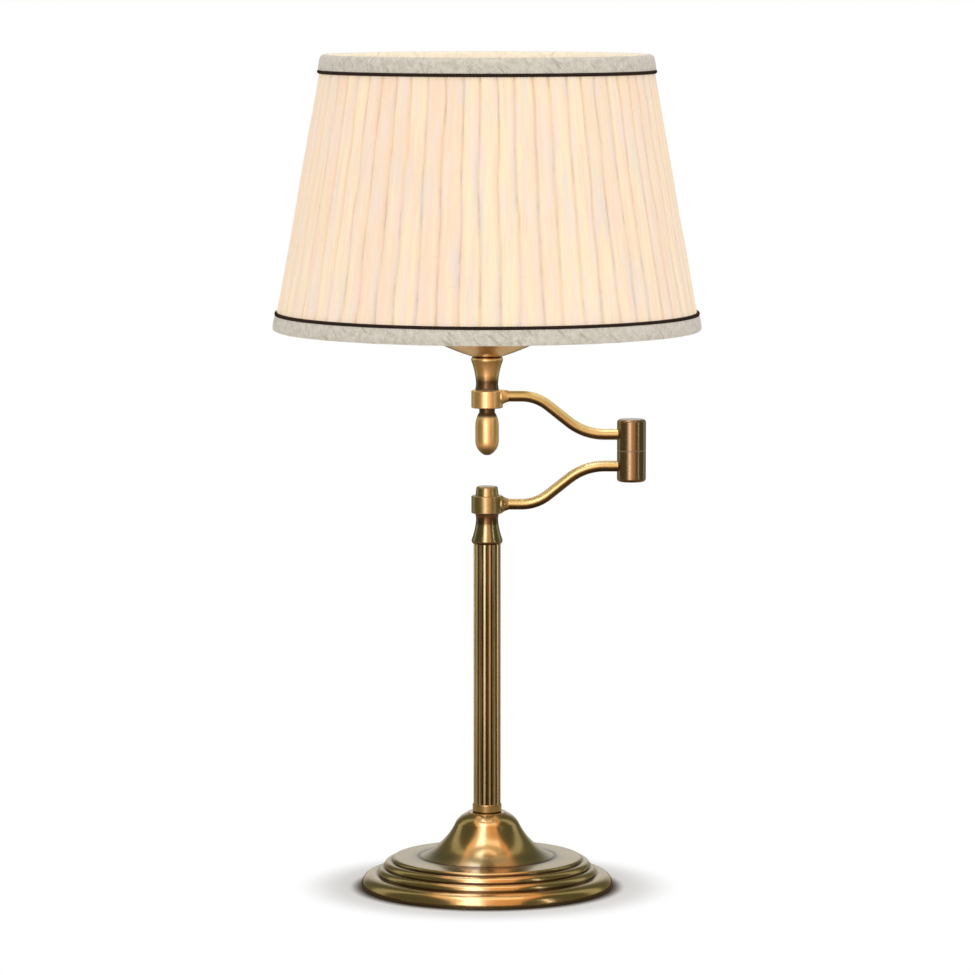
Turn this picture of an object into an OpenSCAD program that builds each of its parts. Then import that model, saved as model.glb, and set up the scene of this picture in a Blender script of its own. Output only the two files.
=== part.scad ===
// Swing arm table lamp: a stepped base with a fluted column, two equal arms that fold over
// each other at an elbow, and a pleated shade on a holder that turns at the arm's end.
// Lengths are in millimetres. The origin is the middle of the underside, +Z points up, and at
// rest both arms lie along +X, so the shade stands over the column.

/* [Base] */
// Widest radius of the base, at its rolled rim
base_r = 88.5; // [84:0.5:110]
// Height of the rolled rim over the table
rim_h = 9.7; // [8.5:0.1:14]
// Corner radius of the rolled rim
rim_corner = 7.5; // [2:0.5:8]
// How far the ring stands back from the rim
ring_inset = 11.6; // [7.6:0.2:12]
// Height of the ring over the rim
ring_rise = 4.8; // [3:0.1:8]
// Corner radius of the ring
ring_corner = 4; // [0.5:0.1:5]
// How far the tread stands back from the ring
tread_inset = 4.5; // [4:0.5:9]
// Height of the tread over the ring
tread_rise = 4.6; // [2.5:0.1:8]
// Corner radius of the tread
tread_corner = 3.6; // [0.5:0.1:5]
// How far the drum stands back from the tread
drum_inset = 5.5; // [3.5:0.5:9]
// Height of the drum over the tread
drum_rise = 2.4; // [2.2:0.1:12]
// Corner radius of the drum
drum_corner = 2; // [1:0.1:6]
// Fall of the shoulder from the bell's foot to the drum's edge
shoulder_rise = 0.4; // [0.4:0.1:3]
// Radius of the bell at its foot
bell_foot_r = 48; // [42:1:56]
// Radius of the bell at its top
bell_top_r = 21.9; // [19:0.1:26]
// Height of the bell
bell_rise = 24.4; // [20:0.2:34]
// Radius of the hollow curve of the bell's side
bell_curve = 46; // [34:1:90]
// Height of the rounded crown over the bell
crown_rise = 6.5; // [5:0.5:10]
// Radius of the rounded crown's curve
crown_curve = 16; // [11:1:40]
// Radius of the small ledge on the crown
ledge_r = 13.5; // [12:0.5:16]
// Height of the small ledge on the crown
ledge_h = 0.8; // [0.4:0.1:2]
// Thickness of the spun metal of the base
shell_wall = 1.2; // [0.8:0.1:2]
// Thickness of the felt
felt_t = 2; // [1:0.5:4]
// How far the felt stands below the rim
felt_proud = 0.5; // [0.2:0.1:1]
// How far the felt stands back from the rim
felt_inset = 5.5; // [4:0.5:12]
// Thickness of the bottom plate
plate_t = 1.2; // [1:0.1:2]
// Distance of the plate's screws from the middle
screw_circle_r = 55; // [40:1:62]
// Radius of the hollow under the weight where the nut sits
nut_hollow_r = 16; // [14:0.5:22]
// Thickness of the weight over the nut's hollow
nut_hollow_roof = 4; // [3:0.5:6]
// Bore radius of the cord's inlet bush
inlet_bore_r = 2.1; // [2:0.1:2.4]
// Wall of the cord's inlet bush
inlet_wall = 0.8; // [0.6:0.1:1]

/* [Column] */
// Outer radius of the fluted column
column_r = 9.6; // [8.8:0.1:12]
// Length of the fluted column
column_len = 184; // [120:0.1:260]
// Bore radius of the fluted column
column_bore_r = 7.4; // [6.8:0.1:7.6]
// Number of flutes
flutes = 16; // [12:1:20]
// Radius of a flute's round bottom
flute_r = 1.3; // [1:0.1:1.6]
// Depth of a flute
flute_depth = 0.9; // [0.3:0.1:0.9]
// Radius of the collar under the column
collar_r = 10.2; // [9.8:0.1:12]
// Height of the collar under the column
collar_h = 5.9; // [4:0.1:10]
// Outer radius of the threaded pipe inside the lamp
rod_r = 4.85; // [4.5:0.05:5]
// Bore radius of the threaded pipe
rod_bore_r = 3; // [2.6:0.1:3.2]

/* [Turned neck pieces] */
// Length of the neck under the dish
neck_len = 23.4; // [20:0.1:34]
// Length of the column's cap, turned like the neck
cap_len = 21.2; // [18:0.1:30]
// Radius of the neck's wide end
neck_wide_r = 11; // [10:0.1:13]
// Radius of the wide end of the column's cap
cap_wide_r = 10.7; // [10:0.1:13]
// Radius of the foot that both stand on
neck_foot_r = 8.3; // [7.8:0.1:10]
// Height of that foot
neck_foot_h = 4.5; // [3:0.1:6]
// Radius of the foot's hollow side
foot_curve = 16; // [10:1:40]
// Radius of their narrow waist
neck_small_r = 7.7; // [7.6:0.1:9]
// Radius of their hollow side over the waist
neck_curve = 55; // [40:1:120]
// Length of their rounded lip
lip_len = 3.2; // [2.4:0.1:4]
// Radius of the rounded lip's curve
lip_curve = 2.6; // [2.2:0.1:4]
// How far the lip draws in at its end
lip_draw = 1.2; // [0.4:0.1:1.6]

/* [Arms] */
// Distance from the hub's axis to the elbow's axis
arm_reach = 101; // [90:1:140]
// Outer radius of the arm's tube
arm_r = 3.8; // [3.6:0.1:4]
// Wall of the arm's tube
arm_wall = 1.5; // [1.2:0.1:1.6]
// Height that an arm climbs from its hub to the elbow
arm_rise = 26.8; // [22:0.2:36]
// Steepest slope of the arm in degrees
arm_slope = 38.5; // [34:0.5:44]
// Radius of the arm's bend near its hub
hub_bend_r = 30; // [24:1:32]
// Radius of the arm's bend near the elbow
elbow_bend_r = 40; // [30:1:42]
// Where the bend near the hub begins, from the hub's axis
bend_start = 24; // [20:1:26]

/* [Hubs] */
// Outer radius of a hub
hub_r = 11; // [10.5:0.1:13]
// Height of a hub
hub_h = 12.4; // [12.2:0.1:16]
// Radius of the chamber inside a hub
chamber_r = 7; // [6.8:0.1:7.2]
// Thickness of a hub's floor
web_t = 2.3; // [2:0.1:2.5]
// Radius of the flare where the arm leaves the hub
flare_r = 6.2; // [5.4:0.1:6.2]
// Length of the flare outside the hub
flare_len = 4; // [3:0.5:6]
// Radius of the hollow curve of the flare
flare_curve = 9; // [8:0.5:20]
// How far the upper arm enters over the middle of its hub
upper_entry_lift = 1.9; // [1.5:0.1:1.9]
// Rounding of the hubs' edges
hub_edge = 0.8; // [0.3:0.1:1.2]
// Radius of the cap on the lower hub
hub_cap_r = 8.1; // [7.7:0.1:9]
// Height of the cap on the lower hub
hub_cap_h = 6.4; // [5:0.1:10]
// Thickness of the friction washers
washer_t = 0.4; // [0.3:0.1:0.8]

/* [Elbow] */
// Outer radius of the elbow
elbow_r = 10.1; // [9.8:0.1:12]
// Height of each half of the elbow
barrel_h = 21.7; // [21:0.1:26]
// Wall of the elbow's barrels
barrel_wall = 2.4; // [2:0.1:2.5]
// Thickness of the barrels' floors at the seam
barrel_web = 3; // [2.5:0.1:3]
// Thickness of the pale washer at the seam
seam_t = 0.6; // [0.4:0.1:1.2]
// Height of the elbow's end caps
end_cap_h = 3; // [2.5:0.1:4]
// Rounding of the elbow's end caps
end_round = 2.3; // [1:0.1:2.4]

/* [Finial] */
// Length of the finial under the upper hub
finial_len = 32.7; // [28:0.1:36]
// Largest radius of the finial
finial_r = 8.2; // [7.6:0.1:9]
// Length of its rounded lower end
finial_end_len = 10; // [9:0.1:11]
// Length of the straight stretch over that
finial_belly_len = 10.2; // [6:0.1:11]
// Radius of the finial's short neck
finial_neck_r = 5.5; // [5.5:0.1:7]
// Length of the finial's short neck
finial_neck_len = 3.2; // [2:0.1:5]
// Radius of the curve of the finial's lower end
finial_low_curve = 11.4; // [8:0.1:30]
// Radius of the curve of the finial's upper end
finial_high_curve = 19.4; // [12:0.1:60]

/* [Lampholder] */
// Radius of the dish under the lampholder
dish_r = 40; // [34:1:50]
// Depth of the dish
dish_depth = 11.7; // [8:0.1:13]
// Radius of the dish's flat middle
dish_flat_r = 11; // [10.5:0.1:13]
// Radius of the dish's hollow curve
dish_curve = 180; // [120:5:400]
// Radius of the bead at the dish's rim
dish_bead_r = 0.9; // [0.7:0.1:1.2]
// Thickness of the dish's metal
dish_t = 1; // [0.8:0.1:1.4]
// Outer radius of the lampholder's sleeve
sleeve_r = 20.1; // [20:0.1:22]
// Length of the lampholder's sleeve
sleeve_len = 41; // [38:0.5:50]
// Height of the cup under the sleeve
cup_h = 16; // [14:0.5:20]
// Bore radius of the bulb's screw socket
screw_bore_r = 13.5; // [13.4:0.1:13.7]
// Outer radius of the shade's clamping rings
shade_ring_r = 27; // [25:0.5:32]
// Height of each clamping ring
shade_ring_h = 5; // [4:0.5:7]
// Radius of the switch's knob
knob_r = 5; // [4:0.5:6]
// Length of the switch's knob
knob_len = 14; // [10:1:20]

/* [Bulb] */
// Radius of the glass bulb
bulb_r = 30; // [26:1:35]
// Length of the bulb with its cap
bulb_len = 104; // [98:1:112]
// Outer radius of the bulb's metal cap
bulb_cap_r = 13.1; // [12.9:0.1:13.2]
// Length of the bulb's metal cap
bulb_cap_len = 22; // [20:0.5:24]

/* [Shade] */
// Outer radius at the shade's lower edge
shade_low_r = 150; // [140:1:175]
// Outer radius at the shade's upper edge
shade_top_r = 115.5; // [100:0.5:125]
// Height of the shade
shade_h = 191.5; // [160:0.5:230]
// How far the shade's lower edge hangs over the neck's top
shade_lift = 18.4; // [18:0.1:26]
// How far the shade's side is hollow at half height
side_hollow = 0.4; // [0:0.1:5]
// Number of pleats
pleats = 62; // [48:1:72]
// Depth of the pleats
pleat_depth = 2.4; // [1.5:0.1:3.5]
// Thickness of the pleated cloth
cover_t = 0.6; // [0.5:0.1:0.9]
// Thickness of the stiff liner
liner_t = 0.5; // [0.4:0.1:1]
// Height of the cloth bands
band_h = 10.7; // [9:0.1:20]
// Thickness of the cloth bands
band_t = 0.7; // [0.5:0.1:1]
// Radius of the dark piping
piping_r = 1.1; // [0.8:0.1:1.4]
// Radius of the frame's wire
wire_r = 1.6; // [1.4:0.1:1.7]
// Radius of the fitter's spokes
spoke_r = 1.5; // [1.2:0.1:1.6]

/* [Leads] */
// Radius of the twin lead inside the lamp
lead_r = 1.8; // [1.5:0.1:1.8]
// Radius of the lead's turn inside the elbow
lead_turn_r = 5; // [4.5:0.5:5]

/* [Clearances] */
// Radial clearance of pieces that are screwed or pushed together
fit = 0.05; // [0.03:0.01:0.08]
// Radial clearance of the pivots
running = 0.1; // [0.05:0.01:0.15]
// Gap between pieces that lie against each other
seat = 0.3; // [0.2:0.05:0.4]

/* [Hidden] */

$fn = 96;
over = 1;

// Each step of the base is its radius, the height of its top and its corner radius
rim = [base_r, rim_h, min(rim_corner, rim_h - felt_proud - seat)];
ring = [base_r - ring_inset, rim_h + ring_rise, min(ring_corner, ring_rise - seat)];
tread = [ring[0] - tread_inset, ring[1] + tread_rise, min(tread_corner, tread_rise - seat)];
drum = [tread[0] - drum_inset, tread[1] + drum_rise, min(drum_corner, drum_rise - seat)];
shoulder_z = drum[1] + shoulder_rise;
bell_foot = [bell_foot_r, shoulder_z];
bell_top = [bell_top_r, shoulder_z + bell_rise];
crown_top = [ledge_r + 0.5, shoulder_z + bell_rise + crown_rise];
base_top_z = crown_top[1] + ledge_h;

weight_z = felt_t + plate_t;
weight_gap = shell_wall + seat;
weight_top_z = drum[1] - weight_gap;
hollow_z = weight_top_z - nut_hollow_roof;
rod_washer_t = 1.5;
rod_washer_r = nut_hollow_r - 4;
rod_nut_t = 5;
rod_nut_r = 9.8;
rod_end_z = hollow_z - rod_washer_t - rod_nut_t - 0.8;
plate_screws_n = 3;
plate_drop = max(weight_z - rim[1] + rim[2], 0);
plate_r = base_r - rim[2] + sqrt(pow(rim[2] - shell_wall, 2) - pow(plate_drop, 2)) - seat;
screw_head_r = 3.4;
screw_shank_r = 1.5;
screw_len = 9;

inlet_r = inlet_bore_r + inlet_wall;
inlet_z = weight_z + seat + lead_r;
inlet_out_y = base_r + 0.6;
inlet_in_y = base_r - rim[2] + 1.5;
base_turn_r = rod_end_z + 3 - inlet_z;

collar_z = base_top_z;
column_z = collar_z + collar_h;
cap_z = column_z + column_len;
spigot_len = 4.5;
cap_top_z = cap_z + cap_len;
rod_top_z = cap_z + cap_len * 0.35;
pivot_shank_z = rod_top_z + 1;

lower_hub_z = cap_top_z + washer_t;
arm_low_z = lower_hub_z + hub_h / 2;
hub_turn_r = 4;
flare_root = 2.4;
flare_end = 0.25;
pivot_head_t = 1.4;
pivot_head_r = chamber_r - 0.7;
pivot_head_z = lower_hub_z + web_t + washer_t;
pivot_bore_r = 3.2;
hub_cap_z = lower_hub_z + hub_h;

seam_z = arm_low_z + arm_rise + barrel_h / 2;
upper_barrel_z = seam_z + seam_t;
arm_high_z = upper_barrel_z + barrel_h / 2;
cavity_r = elbow_r - barrel_wall;
pin_r = 4.4;
pin_bore_r = lead_r + 0.8;
pin_head_r = cavity_r - 1.4;
pin_head_t = 2.4;
spring_t = 0.5;
elbow_nut_t = 3;

arm_end_z = arm_high_z + arm_rise;
upper_hub_z = arm_end_z - upper_entry_lift - hub_h / 2;
upper_hub_top_z = upper_hub_z + hub_h;
neck_z = upper_hub_top_z + washer_t;
neck_top_z = neck_z + neck_len;
finial_top_z = upper_hub_z - washer_t;
finial_z = finial_top_z - finial_len;
finial_tip_r = 2;
stem_in_finial = 11;
stem_z = finial_top_z - stem_in_finial;
window_h = 2 * lead_r + 3;

dish_z = neck_top_z;
cup_z = dish_z + dish_t;
cup_foot_r = dish_flat_r - 1;
cup_r = sleeve_r - 0.8 - fit;
cup_t = 0.8;
cup_foot_h = 2;
cup_side_h = cup_h - 3.6;
cup_curve = 16;
sleeve_z = cup_z + cup_h - 2;
sleeve_top_z = sleeve_z + sleeve_len;
lock_nut_t = 3;
stem_top_z = cup_z + cup_t + lock_nut_t + 1.5;
liner_sleeve_r = sleeve_r - 0.8 - seat;
liner_sleeve_t = 0.9;
core_z = cup_z + cup_h + seat;
core_r = liner_sleeve_r - liner_sleeve_t - seat;
core_h = 18;
screw_shell_z = core_z + core_h;
screw_shell_t = 0.8;
contact_t = 2.2;
knob_z = core_z + 6;
knob_shaft_r = 1.8;
knob_out = sleeve_r + 3;

clamp_z = sleeve_top_z - 3 - 2 * shade_ring_h - 2;
fitter_z = clamp_z + shade_ring_h;
fitter_t = 2;
fitter_r = shade_ring_r + 2;

bulb_z = screw_shell_z + contact_t + seat;
bulb_tip_h = 1.6;
bulb_cone_h = 3.2;
bulb_cap_z = bulb_z + bulb_tip_h + bulb_cone_h;
glass_t = 0.8;
bulb_join = 0.88;
bulb_throat_h = 12;
bulb_throat_curve = 120;
glass_neck_r = bulb_cap_r - 0.7;
glass_z = bulb_cap_z + bulb_cap_len - 6;
bulb_centre_z = bulb_z + bulb_len - bulb_r;

shade_z = neck_top_z + shade_lift;
shade_top_z = shade_z + shade_h;
ridge_inset = 1.2;
fold_depth = ridge_inset + pleat_depth + cover_t + seat + liner_t + seat + band_t;
cover_end = band_t + 0.2 + 2 * wire_r + 3 * seat;
cover_bands = 4;
wire_z = band_t + 0.2 + wire_r;
spokes = 3;
spoke_from = [fitter_r - 0.8, fitter_z + fitter_t / 2];
spoke_to = [shade_low_r - fold_depth / 2, shade_z + wire_z];
spoke_run = spoke_to - spoke_from;
spoke_len = norm(spoke_run);

// The arm's sloped stretch is a hair thinner and laps into both bends
slope_thin = 0.03;
slope_lap = 0.4;

// Centre of the arc from a to b with radius k, which bulges outward, or hollows in where k is negative
function arc_centre(a, b, k) =
    let (chord = b - a, l = norm(chord), out = [chord[1], -chord[0]] / l)
    (a + b) / 2 - out * sign(k) * sqrt(k * k - l * l / 4);

// The point on a curved wall that lies d further in, for an arc of radius k round the centre c
function inside(p, c, k, d) = c + (p - c) * (abs(k) - sign(k) * d) / abs(k);

// A step's corner, moved in by d
function step_path(s, d) =
    let (c = max(s[2] - d, 0))
    [[s[0] - d, s[1] - d - c, c], [s[0] - d - c, s[1] - d, 0]];

// The base's outline moved in by d, as points of radius, height and bulge to the next point
function shell_path(d) =
    let (
        bell_c = arc_centre(bell_foot, bell_top, -bell_curve),
        crown_c = arc_centre(bell_top, crown_top, crown_curve),
        foot = inside(bell_foot, bell_c, -bell_curve, d),
        top = inside(bell_top, bell_c, -bell_curve, d),
        crown_low = inside(bell_top, crown_c, crown_curve, d),
        crown_high = inside(crown_top, crown_c, crown_curve, d)
    )
    concat(
        [[rim[0] - d, felt_proud - (d > 0 ? over : 0), 0]],
        step_path(rim, d),
        [[ring[0] - d, rim[1] - d, 0]],
        step_path(ring, d),
        [[tread[0] - d, ring[1] - d, 0]],
        step_path(tread, d),
        [[drum[0] - d, tread[1] - d, 0]],
        step_path(drum, d),
        [[foot[0], foot[1], -(bell_curve + d)], [top[0], top[1], 0]],
        [[crown_low[0], crown_low[1], crown_curve - d], [crown_high[0], crown_high[1], 0]]
    );

// Outer radius of the shade at height h over its lower edge
function shade_r(h) =
    let (t = h / shade_h)
    shade_low_r + (shade_top_r - shade_low_r) * t - 4 * side_hollow * t * (1 - t);

// The flat shape between the radius bore and one stretch of a turned outline
module under_stretch(a, b, bore) {
    p = [a[0], a[1]];
    q = [b[0], b[1]];
    k = a[2];
    wedge = [[bore, p[1]], p, q, [bore, q[1]]];
    if (q[1] > p[1] && k == 0) polygon(wedge);
    if (q[1] > p[1] && k > 0) {
        l = norm(q - p);
        out = [q[1] - p[1], p[0] - q[0]] / l * (k - sqrt(k * k - l * l / 4) + over);
        polygon(wedge);
        intersection() {
            translate(arc_centre(p, q, k)) circle(r = k);
            polygon([p, p + out, q + out, q]);
        }
    }
    if (q[1] > p[1] && k < 0) difference() {
        polygon(wedge);
        translate(arc_centre(p, q, k)) circle(r = -k);
    }
}

module outline(path, bore = 0) {
    for (i = [0 : len(path) - 2]) under_stretch(path[i], path[i + 1], bore);
}

module lathe(path, bore = 0) {
    rotate_extrude() outline(path, bore);
}

// A disc of radius r with rounded edges at its low end, its high end or both
module round_disc(r, h, low, high, bore) {
    lathe([[r - low, 0, low], [r, low, 0], [r, h - high, high], [r - high, h, 0]], bore);
}

module tube(r, bore, z, h) {
    translate([0, 0, z]) difference() {
        cylinder(r = r, h = h);
        translate([0, 0, -over]) cylinder(r = bore, h = h + 2 * over);
    }
}

// The trumpet shape of the neck and the column's cap, narrow end down
module neck_shape(len, wide_r) {
    lathe([
        [neck_foot_r, 0, -foot_curve],
        [neck_small_r, neck_foot_h, -neck_curve],
        [wide_r, len - lip_len, lip_curve],
        [wide_r - lip_draw, len, 0]
    ]);
}

// One quarter or less of a ring of round section in the XZ plane, from angle a0 on by turn
module bend(x, z, radius, a0, turn, r) {
    translate([x, 0, z]) rotate([90, 0, 0]) rotate([0, 0, a0])
        rotate_extrude(angle = turn) translate([radius, 0]) circle(r = r);
}

module level_run(x0, x1, z, r) {
    translate([x0, 0, z]) rotate([0, 90, 0]) cylinder(r = r, h = x1 - x0);
}

// A round rod of radius r along the arm's centre line, climbing from x0 to x1
module arm_run(x0, x1, r) {
    arc_rise = (hub_bend_r + elbow_bend_r) * (1 - cos(arm_slope));
    slope_len = (arm_rise - arc_rise) / sin(arm_slope);
    p = [bend_start + hub_bend_r * sin(arm_slope), hub_bend_r * (1 - cos(arm_slope))];
    q = p + slope_len * [cos(arm_slope), sin(arm_slope)];
    end_x = q[0] + elbow_bend_r * sin(arm_slope);
    level_run(x0, bend_start, 0, r);
    bend(bend_start, hub_bend_r, hub_bend_r, -90, arm_slope, r);
    translate([p[0], 0, p[1]]) rotate([0, 90 - arm_slope, 0])
        translate([0, 0, -slope_lap]) cylinder(r = r - slope_thin, h = slope_len + 2 * slope_lap);
    bend(end_x, arm_rise - elbow_bend_r, elbow_bend_r, 90, arm_slope, r);
    level_run(end_x, x1, arm_rise, r);
}

module arm_tube() {
    x0 = chamber_r + 1;
    x1 = arm_reach - cavity_r - 0.2;
    color("darkgoldenrod") difference() {
        arm_run(x0, x1, arm_r);
        arm_run(x0 - over, x1 + over, arm_r - arm_wall);
    }
}

// A hub with a floor, a chamber and a flare round the arm, which enters at height entry
module hub(entry) {
    color("goldenrod") difference() {
        union() {
            round_disc(hub_r, hub_h, hub_edge, hub_edge, 0);
            intersection() {
                translate([chamber_r + 1, 0, entry]) rotate([0, 90, 0]) lathe([
                    [flare_r, 0, 0],
                    [flare_r, flare_root, -flare_curve],
                    [arm_r + flare_end, hub_r + flare_len - chamber_r - 1, 0]
                ]);
                translate([0, -hub_r, 0]) cube([2 * hub_r, 2 * hub_r, hub_h]);
            }
        }
        translate([0, 0, -over]) cylinder(r = rod_r + running, h = hub_h);
        translate([0, 0, web_t]) cylinder(r = chamber_r, h = hub_h);
        level_run(chamber_r + 1 - seat, hub_r + flare_len + over, entry, arm_r + fit);
        level_run(0, chamber_r + 1, entry, arm_r - arm_wall + fit);
    }
}

// Half of the elbow, its floor at height 0, open upward
module barrel() {
    color("goldenrod") difference() {
        cylinder(r = elbow_r, h = barrel_h - end_cap_h);
        translate([0, 0, barrel_web]) cylinder(r = cavity_r, h = barrel_h);
        translate([0, 0, -over]) cylinder(r = pin_r + running, h = barrel_h);
        translate([0, 0, barrel_h / 2]) rotate([0, -90, 0]) cylinder(r = arm_r + fit, h = 2 * elbow_r);
    }
}

module barrel_cap() {
    spigot = 2.2;
    color("goldenrod") translate([0, 0, barrel_h - end_cap_h]) {
        round_disc(elbow_r, end_cap_h, 0, end_round, 0);
        translate([0, 0, -spigot]) cylinder(r = cavity_r - fit, h = spigot);
    }
}

// The elbow's own lead: up through the pin and round into the arm, from the seam at height 0
module elbow_lead(to_arm) {
    translate([0, 0, seat]) cylinder(r = lead_r, h = to_arm - lead_turn_r - seat);
    bend(-lead_turn_r, to_arm - lead_turn_r, lead_turn_r, 0, 90, lead_r);
}

// The notch that leaves room for the cord's inlet bush, up to height h
module inlet_notch(h) {
    half = inlet_r + seat;
    translate([-half, inlet_in_y - 2, -over]) cube([2 * half, base_r, h + 2 * over]);
}

module felt_pad() {
    color("darkgreen") difference() {
        cylinder(r = base_r - felt_inset, h = felt_t);
        inlet_notch(felt_t);
    }
}

module bottom_plate() {
    color("dimgray") difference() {
        translate([0, 0, felt_t]) cylinder(r = plate_r, h = plate_t);
        inlet_notch(weight_z);
        plate_screw_places() cylinder(r = screw_shank_r + fit, h = weight_z + over);
        plate_screw_places() translate([0, 0, felt_t]) screw_head(fit);
    }
}

module plate_screw_places() {
    for (i = [0 : plate_screws_n - 1])
        rotate([0, 0, 30 + i * 360 / plate_screws_n]) translate([screw_circle_r, 0, 0]) children();
}

module screw_head(gap) {
    slope = (screw_head_r - screw_shank_r) / plate_t;
    translate([0, 0, -gap])
        cylinder(r1 = screw_head_r + gap * (1 + slope), r2 = screw_shank_r + gap, h = plate_t + gap);
}

module plate_screws() {
    color("silver") plate_screw_places() difference() {
        translate([0, 0, felt_t]) {
            screw_head(0);
            cylinder(r = screw_shank_r, h = screw_len);
        }
        translate([-screw_head_r, -0.4, felt_t - over]) cube([2 * screw_head_r, 0.8, over + 0.6]);
    }
}

module base_weight() {
    path = concat(
        [[ring[0] - weight_gap, weight_z, 0]],
        step_path(ring, weight_gap),
        [[tread[0] - weight_gap, ring[1] - weight_gap, 0]],
        step_path(tread, weight_gap),
        [[drum[0] - weight_gap, tread[1] - weight_gap, 0]],
        step_path(drum, weight_gap)
    );
    channel = lead_r + 0.7;
    color("darkslategray") difference() {
        lathe(path);
        translate([0, 0, weight_z - over]) cylinder(r = nut_hollow_r, h = hollow_z - weight_z + over);
        cylinder(r = rod_r + running, h = weight_top_z + over);
        translate([-channel, 0, weight_z - over])
            cube([2 * channel, base_r, inlet_z - weight_z + channel + over]);
        plate_screw_places() cylinder(r = screw_shank_r + fit, h = felt_t + screw_len + over);
    }
}

module base_shell() {
    ledge = [[ledge_r, crown_top[1], 0], [ledge_r, base_top_z, 0]];
    color("peru") difference() {
        rotate_extrude() difference() {
            outline(concat(shell_path(0), ledge), rod_r + running);
            outline(shell_path(shell_wall));
        }
        translate([0, inlet_in_y, inlet_z]) rotate([-90, 0, 0]) cylinder(r = inlet_r + fit, h = base_r);
    }
}

module cord_inlet_bush() {
    h = inlet_out_y - inlet_in_y;
    color("black") translate([0, inlet_in_y, inlet_z]) rotate([-90, 0, 0])
        lathe([[inlet_r, 0, 0], [inlet_r, h - 0.6, 0.6], [inlet_r - 0.6, h, 0]], inlet_bore_r);
}

module rod_washer() {
    color("silver") tube(rod_washer_r, rod_r + fit, hollow_z - rod_washer_t, rod_washer_t);
}

module rod_nut() {
    z = hollow_z - rod_washer_t - rod_nut_t;
    color("silver") difference() {
        translate([0, 0, z]) cylinder(r = rod_nut_r, h = rod_nut_t, $fn = 6);
        cylinder(r = rod_r + fit, h = hollow_z);
    }
}

module tie_rod() {
    color("silver") tube(rod_r, rod_bore_r, rod_end_z, rod_top_z - rod_end_z);
}

module foot_collar() {
    edge = 0.9;
    color("goldenrod") translate([0, 0, collar_z]) {
        round_disc(collar_r, collar_h, edge, edge, rod_r + running);
        tube(column_bore_r - fit, rod_r + running, collar_h - over, spigot_len + over);
    }
}

module fluted_column() {
    color("darkgoldenrod") translate([0, 0, column_z]) linear_extrude(height = column_len) difference() {
        circle(r = column_r);
        circle(r = column_bore_r);
        for (i = [0 : flutes - 1])
            rotate([0, 0, i * 360 / flutes])
                translate([column_r - flute_depth + flute_r, 0]) circle(r = flute_r);
    }
}

module column_cap() {
    color("goldenrod") difference() {
        union() {
            translate([0, 0, cap_top_z]) mirror([0, 0, 1]) neck_shape(cap_len, cap_wide_r);
            translate([0, 0, cap_z - spigot_len]) cylinder(r = column_bore_r - fit, h = spigot_len + over);
        }
        translate([0, 0, cap_z - spigot_len - over])
            cylinder(r = rod_r + fit, h = cap_len + spigot_len + 2 * over);
    }
}

module lower_pivot_washers() {
    color("gainsboro") {
        tube(neck_small_r - 0.4, rod_r + running, cap_top_z, washer_t);
        tube(pivot_head_r, rod_r + running, lower_hub_z + web_t, washer_t);
    }
}

module lower_pivot_screw() {
    mouth = pivot_head_t - 0.1;
    color("silver") difference() {
        union() {
            translate([0, 0, pivot_shank_z])
                cylinder(r = rod_r, h = pivot_head_z - pivot_shank_z + over / 2);
            translate([0, 0, pivot_head_z]) cylinder(r = pivot_head_r, h = pivot_head_t);
        }
        translate([0, 0, pivot_shank_z - over]) cylinder(r = pivot_bore_r, h = pivot_head_z);
        translate([0, 0, pivot_head_z + pivot_head_t - mouth])
            cylinder(r1 = pivot_bore_r, r2 = pivot_bore_r + mouth, h = mouth);
    }
}

module base_lead() {
    start_y = inlet_in_y - seat;
    up_z = inlet_z + base_turn_r;
    color("ivory") {
        translate([0, base_turn_r, inlet_z]) rotate([-90, 0, 0])
            cylinder(r = lead_r, h = start_y - base_turn_r);
        rotate([0, 0, 90]) bend(base_turn_r, up_z, base_turn_r, 180, 90, lead_r);
        translate([0, 0, up_z]) cylinder(r = lead_r, h = arm_low_z - hub_turn_r - seat - up_z);
    }
}

module lower_hub() {
    translate([0, 0, lower_hub_z]) hub(hub_h / 2);
}

module lower_hub_cap() {
    spigot = 2;
    color("goldenrod") translate([0, 0, hub_cap_z]) {
        lathe([[hub_cap_r, 0, 0], [hub_cap_r - 0.6, hub_cap_h - 0.8, 0], [hub_cap_r - 1.4, hub_cap_h, 0]]);
        translate([0, 0, -spigot]) cylinder(r = chamber_r - fit, h = spigot);
    }
}

module lower_arm_tube() {
    translate([0, 0, arm_low_z]) arm_tube();
}

module lower_elbow_barrel() {
    translate([arm_reach, 0, seam_z]) mirror([0, 0, 1]) barrel();
}

module elbow_bottom_cap() {
    translate([arm_reach, 0, seam_z]) mirror([0, 0, 1]) barrel_cap();
}

module elbow_seam_washer() {
    color("lightgray") translate([arm_reach, 0, 0]) tube(elbow_r - 0.2, pin_r + running, seam_z, seam_t);
}

module elbow_pivot_pin() {
    top_z = upper_barrel_z + barrel_web + spring_t + elbow_nut_t + 0.4;
    head_z = seam_z - barrel_web - pin_head_t;
    color("silver") translate([arm_reach, 0, 0]) difference() {
        union() {
            translate([0, 0, head_z]) cylinder(r = pin_head_r, h = pin_head_t);
            translate([0, 0, head_z]) cylinder(r = pin_r, h = top_z - head_z);
        }
        translate([0, 0, head_z - over]) cylinder(r = pin_bore_r, h = top_z - head_z + 2 * over);
    }
}

module elbow_spring_washer() {
    color("silver") translate([arm_reach, 0, 0])
        tube(pin_head_r, pin_r + fit, upper_barrel_z + barrel_web, spring_t);
}

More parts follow.
